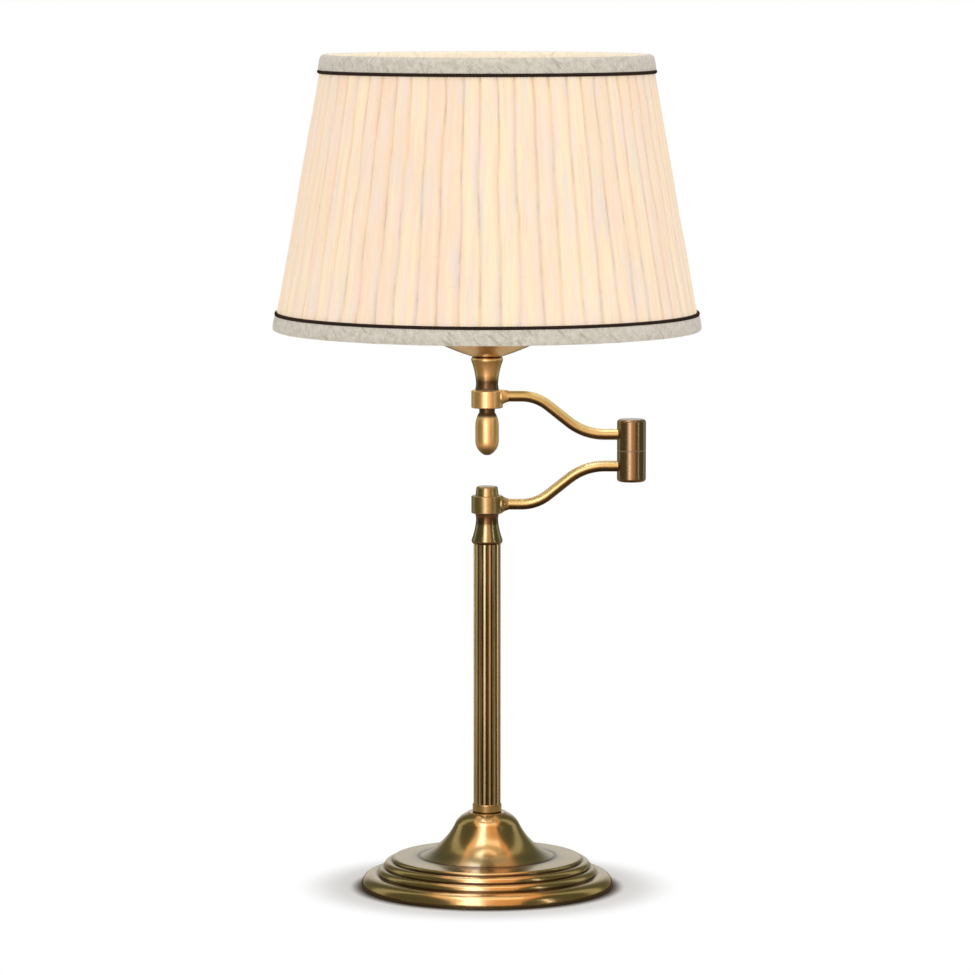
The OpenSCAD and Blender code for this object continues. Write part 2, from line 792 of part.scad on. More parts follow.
module elbow_nut() {
    z = upper_barrel_z + barrel_web + spring_t;
    color("silver") translate([arm_reach, 0, z]) difference() {
        cylinder(r = pin_head_r, h = elbow_nut_t, $fn = 6);
        translate([0, 0, -over]) cylinder(r = pin_r + fit, h = elbow_nut_t + 2 * over);
    }
}

module lower_arm_lead() {
    color("ivory") {
        bend(hub_turn_r, arm_low_z - hub_turn_r, hub_turn_r, 90, 90, lead_r);
        translate([0, 0, arm_low_z]) arm_run(hub_turn_r, arm_reach - lead_turn_r, lead_r);
        translate([arm_reach, 0, seam_z]) mirror([0, 0, 1]) elbow_lead(barrel_h / 2);
    }
}

module upper_elbow_barrel() {
    translate([arm_reach, 0, upper_barrel_z]) barrel();
}

module elbow_top_cap() {
    translate([arm_reach, 0, upper_barrel_z]) barrel_cap();
}

module upper_arm_tube() {
    translate([0, 0, arm_end_z]) mirror([0, 0, 1]) arm_tube();
}

module upper_hub() {
    translate([0, 0, upper_hub_z]) hub(hub_h / 2 + upper_entry_lift);
}

module upper_arm_lead() {
    color("ivory") {
        translate([0, 0, arm_end_z]) mirror([0, 0, 1])
            arm_run(chamber_r + seat, arm_reach - lead_turn_r, lead_r);
        translate([arm_reach, 0, upper_barrel_z]) elbow_lead(barrel_h / 2);
    }
}

module upper_pivot_washers() {
    color("gainsboro") {
        tube(neck_small_r - 0.2, rod_r + running, upper_hub_top_z, washer_t);
        tube(finial_neck_r, rod_r + running, finial_top_z, washer_t);
    }
}

module finial() {
    body_top_z = finial_len - finial_neck_len;
    color("goldenrod") translate([0, 0, finial_z]) difference() {
        lathe([
            [finial_tip_r, 0, finial_low_curve],
            [finial_r, finial_end_len, 0],
            [finial_r, finial_end_len + finial_belly_len, finial_high_curve],
            [finial_neck_r + 0.3, body_top_z, 0],
            [finial_neck_r, body_top_z, 0],
            [finial_neck_r, finial_len, 0]
        ]);
        translate([0, 0, finial_len - stem_in_finial - 0.5])
            cylinder(r = rod_r + fit, h = stem_in_finial + over);
    }
}

module stem_pipe() {
    color("silver") difference() {
        tube(rod_r, rod_bore_r, stem_z, stem_top_z - stem_z);
        translate([rod_bore_r / 3, -rod_r - over, arm_end_z - window_h / 2])
            cube([2 * rod_r, 2 * (rod_r + over), window_h]);
    }
}

module neck() {
    color("goldenrod") difference() {
        translate([0, 0, neck_z]) neck_shape(neck_len, neck_wide_r);
        translate([0, 0, neck_z - over]) cylinder(r = rod_r + fit, h = neck_len + 2 * over);
    }
}

module holder_dish() {
    edge_r = dish_r - dish_bead_r;
    color("peru") translate([0, 0, dish_z]) difference() {
        rotate_extrude() {
            difference() {
                outline([[dish_flat_r, 0, dish_curve], [edge_r, dish_depth, 0]]);
                outline([[dish_flat_r, dish_t, dish_curve], [edge_r, dish_depth + dish_t, 0]]);
            }
            translate([edge_r, dish_depth]) circle(r = dish_bead_r);
        }
        translate([0, 0, -over]) cylinder(r = rod_r + fit, h = dish_depth);
    }
}

module stem_lock_nut() {
    color("silver") translate([0, 0, cup_z + cup_t]) difference() {
        cylinder(r = cup_foot_r - 2, h = lock_nut_t, $fn = 6);
        translate([0, 0, -over]) cylinder(r = rod_r + fit, h = lock_nut_t + 2 * over);
    }
}

module socket_cup() {
    color("goldenrod") translate([0, 0, cup_z]) rotate_extrude() difference() {
        outline([
            [cup_foot_r, 0, 0],
            [cup_foot_r, cup_foot_h, cup_curve],
            [cup_r, cup_side_h, 0],
            [cup_r, cup_h, 0]
        ], rod_r + fit);
        outline([
            [cup_foot_r - cup_t, cup_t, 0],
            [cup_foot_r - cup_t, cup_foot_h + 0.3, cup_curve - cup_t],
            [cup_r - cup_t, cup_side_h + 0.3, 0],
            [cup_r - cup_t, cup_h + over, 0]
        ]);
    }
}

module socket_sleeve() {
    color("goldenrod") difference() {
        tube(sleeve_r, sleeve_r - 0.8, sleeve_z, sleeve_len);
        translate([0, 0, knob_z]) rotate([90, 0, 0]) cylinder(r = knob_shaft_r + running, h = 2 * sleeve_r);
    }
}

module socket_liner() {
    h = sleeve_top_z - core_z - 1;
    color("wheat") difference() {
        tube(liner_sleeve_r, liner_sleeve_r - liner_sleeve_t, core_z, h);
        translate([0, 0, knob_z]) rotate([90, 0, 0]) cylinder(r = knob_shaft_r + running, h = 2 * sleeve_r);
    }
}

module socket_core() {
    color("saddlebrown") difference() {
        translate([0, 0, core_z]) cylinder(r = core_r, h = core_h);
        translate([0, 0, knob_z]) rotate([90, 0, 0]) cylinder(r = knob_shaft_r + running, h = core_r + over);
        translate([0, core_r / 2, core_z - over]) cylinder(r = lead_r + seat, h = core_h / 2);
    }
}

module screw_shell() {
    h = sleeve_top_z - screw_shell_z - 1.5;
    color("gold") tube(screw_bore_r + screw_shell_t, screw_bore_r, screw_shell_z, h);
}

module centre_contact() {
    color("gold") translate([0, 0, screw_shell_z]) cylinder(r = 3, h = contact_t);
}

module shade_rings() {
    color("black") for (z = [clamp_z, fitter_z + fitter_t])
        translate([0, 0, z]) round_disc(shade_ring_r, shade_ring_h, 0.8, 0.8, sleeve_r + 0.2);
}

// Turns +Z into each spoke's own line, from the fitter's ring out and down to the lower wire
module spoke_places() {
    for (i = [0 : spokes - 1])
        rotate([0, 0, 90 + i * 360 / spokes]) translate([spoke_from[0], 0, spoke_from[1]])
            rotate([0, atan2(spoke_run[0], spoke_run[1]), 0]) children();
}

module shade_fitter() {
    color("silver") {
        tube(fitter_r, sleeve_r + 0.2, fitter_z, fitter_t);
        spoke_places() cylinder(r = spoke_r, h = spoke_len);
        translate([0, 0, spoke_to[1]]) rotate_extrude() translate([spoke_to[0], 0]) circle(r = wire_r);
    }
}

module top_frame_ring() {
    color("silver") translate([0, 0, shade_top_z - wire_z]) rotate_extrude()
        translate([shade_top_r - fold_depth / 2 + 0.3, 0]) circle(r = wire_r);
}

module shade_liner() {
    low = cover_end;
    high = shade_h - cover_end;
    inset = ridge_inset + pleat_depth + cover_t + seat;
    stretch = [shade_r(high) - shade_r(low), high - low];
    curve = side_hollow > 0 ? -norm(stretch) * norm(stretch) / (8 * side_hollow) : 0;
    color("white") translate([0, 0, shade_z]) rotate_extrude() difference() {
        outline([[shade_r(low) - inset, low, curve], [shade_r(high) - inset, high, 0]], over);
        outline([
            [shade_r(low) - inset - liner_t, low - over / 100, curve],
            [shade_r(high) - inset - liner_t, high + over / 100, 0]
        ]);
    }
}

module pleated_cover() {
    n = 2 * pleats;
    low = cover_end;
    high = shade_h - cover_end;
    heights = [for (j = [0 : cover_bands]) low + (high - low) * j / cover_bands];
    points = [
        for (skin = [0, cover_t]) for (h = heights) for (i = [0 : n - 1])
            let (r = shade_r(h) - ridge_inset - (i % 2) * pleat_depth - skin, a = i * 360 / n)
            [r * cos(a), r * sin(a), h]
    ];
    rows = cover_bands + 1;
    outer = [
        for (j = [0 : cover_bands - 1]) for (i = [0 : n - 1])
            let (a = j * n + i, b = j * n + (i + 1) % n)
            each [[a, a + n, b], [b, a + n, b + n]]
    ];
    inner = [for (f = outer) [f[0] + rows * n, f[2] + rows * n, f[1] + rows * n]];
    ends = [
        for (i = [0 : n - 1])
            let (a = i, b = (i + 1) % n, c = rows * n, t = cover_bands * n)
            each [[a, b, a + c], [b, b + c, a + c], [a + t, a + t + c, b + t], [b + t, a + t + c, b + t + c]]
    ];
    color("moccasin") translate([0, 0, shade_z])
        polyhedron(points = points, faces = concat(outer, inner, ends));
}

// A cloth band folded round an edge of the shade: outside, round the wire and up the inside
module folded_band(edge, inner_edge) {
    to = sign(inner_edge - edge);
    ro = shade_r(edge);
    ri = shade_r(inner_edge);
    rotate_extrude() polygon([
        [ro, edge], [ri, inner_edge], [ri - band_t, inner_edge], [ro - band_t, edge + to * band_t],
        [ro - fold_depth + band_t, edge + to * band_t], [ri - fold_depth + band_t, inner_edge],
        [ri - fold_depth, inner_edge], [ro - fold_depth, edge]
    ]);
}

module bottom_band() {
    color("lightgray") difference() {
        translate([0, 0, shade_z]) folded_band(0, band_h);
        spoke_places() cylinder(r = spoke_r + 0.4, h = spoke_len - wire_r);
    }
}

module top_band() {
    color("lightgray") translate([0, 0, shade_z]) folded_band(shade_h, shade_h - band_h);
}

module piping(h) {
    color("black") translate([0, 0, shade_z + h]) rotate_extrude()
        translate([shade_r(h) - ridge_inset + piping_r + 0.2, 0]) circle(r = piping_r);
}

module bottom_piping() {
    piping(band_h + piping_r + fit);
}

module top_piping() {
    piping(shade_h - band_h - piping_r - fit);
}

module bulb_contact() {
    color("silver") translate([0, 0, bulb_z]) cylinder(r1 = 3, r2 = 4.5, h = bulb_tip_h);
}

module bulb_insulator() {
    color("black") translate([0, 0, bulb_z + bulb_tip_h])
        cylinder(r1 = 5, r2 = bulb_cap_r - 3, h = bulb_cone_h);
}

module bulb_cap() {
    color("silver") translate([0, 0, bulb_cap_z]) difference() {
        lathe([[bulb_cap_r - 2, 0, 2], [bulb_cap_r, 2, 0], [bulb_cap_r, bulb_cap_len, 0]]);
        translate([0, 0, 1]) cylinder(r = bulb_cap_r - 0.4, h = bulb_cap_len);
    }
}

// The bulb's outer shape, moved in by d
module bulb_shape(d) {
    throat_r = glass_neck_r - d;
    join = [bulb_join, -sqrt(1 - bulb_join * bulb_join)] * (bulb_r - d);
    lathe([
        [throat_r, glass_z - d, 0],
        [throat_r, glass_z + bulb_throat_h, -bulb_throat_curve],
        [join[0], bulb_centre_z + join[1], 0]
    ]);
    translate([0, 0, bulb_centre_z]) sphere(r = bulb_r - d);
}

module bulb_glass() {
    color("lightyellow") difference() {
        bulb_shape(0);
        bulb_shape(glass_t);
    }
}

module stem_lead() {
    low_z = arm_end_z - lead_r;
    color("ivory") translate([0, 0, low_z]) cylinder(r = lead_r, h = core_z - seat - low_z);
}

// The switch lies on its own axis along +Z here, and is turned to point forward in place
module switch_place() {
    translate([0, 0, knob_z]) rotate([90, 0, 0]) children();
}

module switch_knob() {
    grip = knob_r - 1.6;
    color("black") switch_place() difference() {
        translate([0, 0, knob_out]) intersection() {
            round_disc(knob_r, knob_len, 0.8, 2, 0);
            union() {
                cylinder(r = knob_r, h = knob_len / 3);
                translate([-grip, -knob_r, 0]) cube([2 * grip, 2 * knob_r, knob_len]);
            }
        }
        cylinder(r = knob_shaft_r + fit, h = knob_out + knob_len / 2);
    }
}

module switch_shaft() {
    shaft_in_core = 8;
    start = core_r - shaft_in_core;
    color("silver") switch_place() translate([0, 0, start])
        cylinder(r = knob_shaft_r, h = knob_out + knob_len / 2 - start - seat);
}

felt_pad();
bottom_plate();
plate_screws();
base_weight();
base_shell();
cord_inlet_bush();
rod_washer();
rod_nut();
tie_rod();
foot_collar();
fluted_column();
column_cap();
lower_pivot_washers();
lower_pivot_screw();
base_lead();
lower_hub();
lower_hub_cap();
lower_arm_tube();
lower_elbow_barrel();
elbow_bottom_cap();
elbow_seam_washer();
elbow_pivot_pin();
elbow_spring_washer();
elbow_nut();
lower_arm_lead();
upper_elbow_barrel();
elbow_top_cap();
upper_arm_tube();
upper_hub();
upper_arm_lead();
upper_pivot_washers();
finial();
stem_pipe();
neck();
holder_dish();
stem_lock_nut();
socket_cup();
socket_sleeve();
socket_liner();
socket_core();
screw_shell();
centre_contact();
shade_rings();
shade_fitter();
top_frame_ring();
shade_liner();
pleated_cover();
bottom_band();
top_band();
bottom_piping();
top_piping();
bulb_contact();
bulb_insulator();
bulb_cap();
bulb_glass();
stem_lead();
switch_knob();
switch_shaft();
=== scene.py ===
# %% [markdown]
# # A swing arm table lamp, dressed for the camera
# The lamp's solids come packed from the construction step: a weighted base, a fluted column,
# two arms that fold over each other and a shade on a turning holder. This lesson gives them
# light, a camera and finishes, and makes the cloth pieces that a rigid solid can't be.
# %% Load the solids
import math

import bpy
import numpy as np
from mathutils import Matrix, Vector


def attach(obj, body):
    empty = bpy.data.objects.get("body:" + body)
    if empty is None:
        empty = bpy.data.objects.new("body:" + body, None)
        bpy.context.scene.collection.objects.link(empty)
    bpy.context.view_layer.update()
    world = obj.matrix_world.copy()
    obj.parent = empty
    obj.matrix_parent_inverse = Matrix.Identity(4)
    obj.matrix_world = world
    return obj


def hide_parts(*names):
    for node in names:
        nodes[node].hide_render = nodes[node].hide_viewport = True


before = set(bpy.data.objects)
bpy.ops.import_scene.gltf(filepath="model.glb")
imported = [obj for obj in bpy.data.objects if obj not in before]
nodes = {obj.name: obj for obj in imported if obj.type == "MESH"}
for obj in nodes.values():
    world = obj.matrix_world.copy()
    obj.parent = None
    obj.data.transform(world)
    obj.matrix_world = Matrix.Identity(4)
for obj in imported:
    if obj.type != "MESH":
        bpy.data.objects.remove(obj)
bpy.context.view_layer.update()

# %% [markdown]
# ## The camera
# The photo was taken from far away with a long lens: the rim of the shade and the rings of the
# base are thin ellipses. A camera 3.5 m away that looks down by 6 degrees draws them the same.
# The lens follows from the picture's scale, 5000 pixels of focal length on 975 pixels of width.
# %% Set up the camera
PICTURE_PX = 975
FOCAL_PX = 5000
SENSOR_MM = 36
LOOK_DOWN = math.radians(6.08)
AIM = Vector((0.0003, 0, 0.28306))
AWAY = 3.5

camera_data = bpy.data.cameras.new("camera")
camera_data.sensor_width = SENSOR_MM
camera_data.lens = FOCAL_PX / PICTURE_PX * SENSOR_MM
camera_data.clip_end = 200
camera = bpy.data.objects.new("camera", camera_data)
camera.location = AIM + AWAY * Vector((0, -math.cos(LOOK_DOWN), math.sin(LOOK_DOWN)))
camera.rotation_euler = (math.pi / 2 - LOOK_DOWN, 0, 0)
bpy.context.scene.collection.objects.link(camera)
bpy.context.scene.camera = camera
bpy.context.scene.view_settings.view_transform = "Standard"
print("lens", round(camera_data.lens, 1), "mm, camera at", [round(v, 3) for v in camera.location])

# %% [markdown]
# ## Shader sums in plain Python
# A finish is a small network of nodes. Drawing it by hand in code is long, so one class wraps a
# socket and lets Python's own signs add the Math nodes, and one method adds any other node.
# %% A socket that can be added and multiplied
class Value:
    """One output socket. Sums with it add Math nodes to its finish."""

    def __init__(self, finish, socket):
        self.finish, self.socket = finish, socket

    def maths(self, operation, *others):
        numbered = dict(enumerate((self, *others)))
        return self.finish.add("ShaderNodeMath", {"operation": operation}, numbered)

    def __add__(self, other):
        return self.maths("ADD", other)

    def __sub__(self, other):
        return self.maths("SUBTRACT", other)

    def __rsub__(self, other):
        return self.finish.add("ShaderNodeMath", {"operation": "SUBTRACT"}, {0: other, 1: self})

    def __mul__(self, other):
        return self.maths("MULTIPLY", other)

    def __truediv__(self, other):
        return self.maths("DIVIDE", other)

    def __pow__(self, other):
        return self.maths("POWER", other)

    __radd__ = __add__
    __rmul__ = __mul__

    def sine(self):
        return self.maths("SINE")

    def root(self):
        return self.maths("SQRT")

    def turn_to(self, other):
        """The angle whose tangent is this value over the other one."""
        return self.maths("ARCTAN2", other)

    def held(self):
        """The value kept between 0 and 1."""
        return self.finish.add("ShaderNodeClamp", {}, {"Value": self})

    def between(self, low, high):
        """0 below low, 1 above high and a smooth rise between them."""
        return self.finish.add("ShaderNodeMapRange", {"interpolation_type": "SMOOTHSTEP"},
                               {"Value": self, "From Min": low, "From Max": high})

    def window(self, low, high, soft):
        """1 from low to high, with a smooth fall of the width soft outside them."""
        return self.between(low - soft, low) * (1 - self.between(high, high + soft))


print("sums ready:", [name for name in vars(Value) if not name.startswith("__")])


# %% The finish that holds the network
class Finish:
    """A material whose nodes are added by calls."""

    def __init__(self, name):
        self.material = bpy.data.materials.new(name)
        self.material.use_nodes = True
        self.tree = self.material.node_tree
        self.tree.nodes.clear()

    def add(self, kind, settings=None, inputs=None, out=0):
        """Adds a node: its settings first, then the values or links of its sockets."""
        node = self.tree.nodes.new(kind)
        for name, setting in (settings or {}).items():
            setattr(node, name, setting)
        for name, given in (inputs or {}).items():
            if isinstance(given, Value):
                self.tree.links.new(given.socket, node.inputs[name])
            else:
                node.inputs[name].default_value = given
        return Value(self, node.outputs[out]) if len(node.outputs) else None

    def mix(self, share, a, b):
        """Colour a where share is 0 and b where it is 1. Sockets 6 and 7 take the colours."""
        colours = {n: c if isinstance(c, Value) else (*c, 1) for n, c in ((6, a), (7, b))}
        return self.add("ShaderNodeMix", {"data_type": "RGBA"}, {0: share, **colours}, out=2)

    def place(self, kind="Object"):
        """X, Y and Z of the surface in the lamp's own frame, or of its normal."""
        at = self.add("ShaderNodeTexCoord", out=kind)
        return [self.add("ShaderNodeSeparateXYZ", {}, {0: at}, out=i) for i in range(3)]

    def point(self, x, y, z):
        return self.add("ShaderNodeCombineXYZ", {}, {0: x, 1: y, 2: z})

    def noise(self, at, scale, detail=2.0, roughness=0.5):
        return self.add("ShaderNodeTexNoise", {},
                        {"Vector": at, "Scale": scale, "Detail": detail, "Roughness": roughness})

    def bump(self, height, distance, strength=1.0):
        return self.add("ShaderNodeBump", {},
                        {"Height": height, "Distance": distance, "Strength": strength})

    def surface(self, **inputs):
        """Ends the network in a Principled shader, whose sockets are named with _ for a space."""
        named = {name.replace("_", " "): given for name, given in inputs.items()}
        for name in ("Base Color", "Emission Color"):
            if name in named and not isinstance(named[name], Value):
                named[name] = (*named[name], 1)
        shader = self.add("ShaderNodeBsdfPrincipled", {}, named)
        self.add("ShaderNodeOutputMaterial", {}, {"Surface": shader})
        return self.material


print("finish ready:", [name for name in vars(Finish) if not name.startswith("__")])

# %% [markdown]
# ## The room
# The lamp stands on white paper that runs up behind it. Close to the lamp the paper is an ordinary
# matt surface that takes its shadow, with a painted contact shadow, a soft dark ring, where the
# base meets it, and further out it is even white, so no horizon shows.
# Polished brass looks like brass only where it has something to mirror, so for reflected rays the
# room has more in it than white. A tall warm screen stands in front of the lamp and arches over it,
# with a long white lamp in it a little to the left. Dim olive walls are at both sides, each with a
# narrow pale window towards the back, and the white paper is behind. Real screens round the lamp
# could do the same, but they would also colour the cloth and the paper.
# %% What a mirror sees in each direction
DEGREE = math.pi / 180
SCREEN_HALF, SCREEN_ARCH = 0.47, 0.50
PAPER_BEHIND, DARK_BEHIND = (0.70, 0.71, 0.68), (0.07, 0.06, 0.05)
OLIVE_WALL, PALE_WINDOW = (0.15, 0.155, 0.09), (0.62, 0.64, 0.46)
SCREEN_LEFT, SCREEN_RIGHT = (1.65, 1.12, 0.66), (1.30, 0.72, 0.36)
LONG_LAMP = (3.7, 3.8, 4.2)


def room_colour(finish, x, y, z, backdrop=PAPER_BEHIND):
    """Colour of the room from the lamp towards x, y and z. The camera stands at negative y."""
    length = (x * x + y * y + z * z).root()
    back = (y / length).held()
    across = (x / length) / (SCREEN_HALF - back * SCREEN_ARCH)
    turn = x.turn_to(0 - y).maths("ABSOLUTE")
    ahead = 1 - (y / length).between(0.72, 0.86)
    screen = across.window(-1.0, 1.0, 0.13) * ahead
    lamp = across.window(-0.60, -0.24, 0.14) * ahead
    window = turn.window(112 * DEGREE, 126 * DEGREE, 7 * DEGREE)
    behind = turn.between(150 * DEGREE, 172 * DEGREE) * (1 - (z / length).between(0.25, 0.6))
    wall = finish.mix(window, OLIVE_WALL, PALE_WINDOW)
    warm = finish.mix(across.between(-0.6, 0.5), SCREEN_LEFT, SCREEN_RIGHT)
    front = finish.mix(screen, wall, warm)
    front = finish.mix(lamp, front, LONG_LAMP)
    return finish.mix(behind, front, backdrop)


def light_path(finish):
    """Which kind of ray asks: one from the camera, or one that metal or glass sends on."""
    def kind(word):
        return finish.add("ShaderNodeLightPath", out="Is %s Ray" % word)

    return kind("Camera"), (kind("Glossy") + kind("Transmission")).held()


print("the room is described")

# %% [markdown]
# Rays that come from brass or glass see a table in the paper's place. It is dark near the lamp and
# warm brown further out, until the room begins.
# %% The floor
RIM_R, RING_WIDTH = 0.0885, 0.010
EVEN_FROM, EVEN_AT = 0.099, 0.138
WHITE_PAPER, PAINTED_SHADOW_COLOUR = (0.93, 0.93, 0.93), (0.16, 0.145, 0.135)
TABLE_NEAR, TABLE_FAR = (0.07, 0.055, 0.04), (0.55, 0.41, 0.25)
EVEN_WHITE = (1.0, 1.0, 1.0)
FLOOR_SIZE = 160

paper = Finish("floor_paper")
floor_x, floor_y, floor_z = paper.place()
out = (floor_x * floor_x + floor_y * floor_y).root()
camera_ray, mirrored = light_path(paper)
# Painted contact shadow: a soft dark ring on the paper just round the base's rim.
painted_contact_shadow = 1 - out.between(RIM_R, RIM_R + RING_WIDTH)
matt_colour = paper.mix(painted_contact_shadow, WHITE_PAPER, PAINTED_SHADOW_COLOUR)
matt = paper.add("ShaderNodeBsdfDiffuse", {}, {"Color": matt_colour})
near = paper.mix(out.between(0.12, 0.30), TABLE_NEAR, TABLE_FAR)
beyond = room_colour(paper, floor_x, floor_y, floor_z, DARK_BEHIND)
table = paper.mix(out.between(0.5, 1.3), near, beyond)
even = paper.mix(mirrored, EVEN_WHITE, table)
glow = paper.add("ShaderNodeEmission", {}, {"Color": even, "Strength": 1.0})
far = (out.between(EVEN_FROM, EVEN_AT) * camera_ray + mirrored).held()
floor_shader = paper.add("ShaderNodeMixShader", {}, {0: far, 1: matt, 2: glow})
paper.add("ShaderNodeOutputMaterial", {}, {"Surface": floor_shader})

bpy.ops.mesh.primitive_plane_add(size=FLOOR_SIZE)
floor = bpy.context.object
floor.name = "floor"
floor.data.materials.append(paper.material)
print("floor", floor.dimensions.x, "m across")


# %% The world
class WorldFinish(Finish):
    """The same helper, for the world's own tree of nodes."""

    def __init__(self, world):
        self.tree = world.node_tree
        self.tree.nodes.clear()


LIGHT_GREY = (0.66, 0.66, 0.66)

world = bpy.data.worlds.new("studio")
bpy.context.scene.world = world
world.use_nodes = True
sky = WorldFinish(world)
sky_x, sky_y, sky_z = sky.place("Generated")
camera_ray, mirrored = light_path(sky)
seen = sky.mix(mirrored, LIGHT_GREY, room_colour(sky, sky_x, sky_y, sky_z))
sky_colour = sky.mix(camera_ray, seen, EVEN_WHITE)
background = sky.add("ShaderNodeBackground", {}, {"Color": sky_colour, "Strength": 1.0})
sky.add("ShaderNodeOutputWorld", {}, {"Surface": background})
print("world ready")


# %% [markdown]
# ## Soft lights
# Three soft boxes light the cloth and the paper: a tall one at the left front, a narrow one at the
# right and a wide one above. Each is set by how bright its face is, where 1 is white.
# %% Put up the soft boxes
def soft_box(name, at, to, size, brightness, colour=(1, 1, 1)):
    """A rectangular light at one point that faces another one."""
    data = bpy.data.lights.new(name, "AREA")
    data.shape = "RECTANGLE"
    data.size, data.size_y = size
    data.energy = brightness * math.pi * size[0] * size[1]
    data.color = colour
    box = bpy.data.objects.new(name, data)
    box.location = at
    box.rotation_euler = (Vector(to) - Vector(at)).to_track_quat("-Z", "Y").to_euler()
    box.visible_camera = False
    bpy.context.scene.collection.objects.link(box)


soft_box("box_left", (-0.75, -1.9, 0.75), (0, 0, 0.25), (0.20, 1.3), 4.0, (1.0, 0.96, 0.90))
soft_box("box_right", (1.5, -0.95, 0.6), (0, 0, 0.25), (0.14, 1.2), 3.0, (1.0, 0.97, 0.93))
soft_box("box_top", (0.1, -0.35, 1.9), (0, 0, 0.2), (1.2, 1.2), 1.1)

# %% [markdown]
# ## Antique brass
# The real finish is brass that was darkened all over and then rubbed back while it turned. What a
# cloth reaches comes up bright and warm, a thin olive film lies over the rest, and the grooves keep
# brown patina. On top of that, tops are painted lighter and undersides browner, as painted light
# and shade. Clear lacquer lies over it all. The colour is mixed by the way a surface faces, which
# gives that painted light and shade, by soft clouds, and by how near it is to a groove. A painted
# picture could show the same, but each piece would have to be unwrapped, and these sums fit every
# piece as it is.
# Each groove is a circle: its radius, its height, how far its brown reaches, all in metres, and
# how strong the brown is.
# %% Mix the brass
POLISHED_BRASS = (0.58, 0.385, 0.165)
SATIN_BRASS = (0.98, 0.65, 0.32)
DULL_BRASS = (0.55, 0.41, 0.24)
DARK_BRASS = (0.27, 0.18, 0.10)
PALE_BRASS = (0.95, 0.78, 0.55)
OLIVE_FILM = (0.33, 0.27, 0.145)
AMBER_FILM = (0.46, 0.29, 0.125)
BROWN_FILM = (0.26, 0.170, 0.090)
BROWN_PATINA = (0.14, 0.075, 0.030)
LACQUER_ROUGH = 0.07


def antique_brass(name, bright=POLISHED_BRASS, film=OLIVE_FILM, axis_x=0.0, rub=0.0, grooves=(),
                  rough=0.16, coat=0.4):
    """Brass turned about the upright axis at axis_x. More rub leaves less film, and coat is how
    much lacquer lies on it."""
    metal = Finish(name)
    x, y, z = metal.place()
    radius = ((x - axis_x) ** 2 + y ** 2).root()
    clouds = metal.noise(metal.point(x, y, z), 34, 3, 0.6)
    rings_at = metal.point(radius, z, 0)
    rings = metal.noise(rings_at, 420, 1, 0.5)
    broad = metal.noise(rings_at, 160, 2, 0.6)
    # Painted light and shade: what faces up is made lighter, and undersides browner.
    painted_top_light = metal.place("Normal")[2].between(-0.75, 0.15)
    rubbed = painted_top_light * 0.62 + (clouds - 0.5) * 0.45 + (broad - 0.5) * 0.25 + 0.12 + rub
    for groove_r, groove_z, reach, strength in grooves:
        off = ((radius - groove_r) ** 2 + (z - groove_z) ** 2).root()
        rubbed = rubbed - (1 - off.between(reach * 0.35, reach)) * strength
    rubbed = rubbed.held()
    dull = metal.mix(rubbed.between(0.0, 0.45), BROWN_PATINA, film)
    colour = metal.mix(rubbed.between(0.40, 0.95), dull, bright)
    roughness = rough + (rings - 0.5) * 0.06 + (1 - rubbed) * 0.16
    return metal.surface(Base_Color=colour, Metallic=1.0, Roughness=roughness,
                         Coat_Weight=coat, Coat_Roughness=LACQUER_ROUGH,
                         Normal=metal.bump(rings + broad * 0.6, 0.000012, 0.5))


def drawn_brass(name):
    """The arms' brass: painted lighter on top and browner below, as painted light and shade, with
    soft cloudy patches.
    """
    metal = Finish(name)
    x, y, z = metal.place()
    # Painted light and shade: the tops of the arms lighter, their undersides browner.
    painted_top_light = metal.place("Normal")[2].between(-0.45, 0.75)
    clouds = metal.noise(metal.point(x, y, z), 26, 2, 0.5)
    rubbed = (painted_top_light + (clouds - 0.5) * 0.4).held()
    colour = metal.mix(rubbed.between(0.0, 0.50), (0.11, 0.064, 0.026), (0.52, 0.38, 0.15))
    colour = metal.mix(rubbed.between(0.45, 1.0), colour, (0.86, 0.74, 0.40))
    return metal.surface(Base_Color=colour, Metallic=1.0, Roughness=0.34 + (clouds - 0.5) * 0.08,
                         Coat_Weight=0.4, Coat_Roughness=LACQUER_ROUGH)


def fluted_brass(name):
    """The column's brass: rubbed on the ridges, and dark down in the flutes."""
    metal = Finish(name)
    x, y, z = metal.place()
    ridge = (x * x + y * y).root().between(0.0087, 0.00955)
    clouds = metal.noise(metal.point(x, y, z * 0.25), 60, 3, 0.6)
    rubbed = (ridge * 0.75 + (clouds - 0.5) * 0.5).held()
    colour = metal.mix(rubbed, (0.055, 0.040, 0.018), (0.66, 0.56, 0.35))
    return metal.surface(Base_Color=colour, Metallic=1.0, Roughness=0.30 - rubbed * 0.08,
                         Normal=metal.bump(clouds, 0.00003, 0.4))


print("three kinds of brass ready")

# %% Put the brass on
ELBOW_X = 0.101
# The last, wide circle is painted shade that darkens the base round the bell's foot; the others are
# brown patina in grooves.
base_grooves_and_shade = [(0.0769, 0.0097, 0.0022, 0.8), (0.0724, 0.0145, 0.0018, 0.8),
                (0.0669, 0.0191, 0.0018, 0.8), (0.048, 0.0219, 0.0022, 0.6),
                (0.045, 0.0225, 0.013, 0.25)]
neck_grooves = [(0.0083, 0.3519, 0.011, 0.85), (0.0100, 0.3753, 0.002, 0.8)]
finial_grooves = [(0.0055, 0.3365, 0.0055, 1.05)]
cap_grooves = [(0.0083, 0.2647, 0.009, 0.8), (0.0098, 0.2435, 0.0015, 0.8)]


def dress(material, *names):
    """Gives each named solid this material alone."""
    for name in names:
        slots = nodes[name].data.materials
        slots.clear()
        slots.append(material)


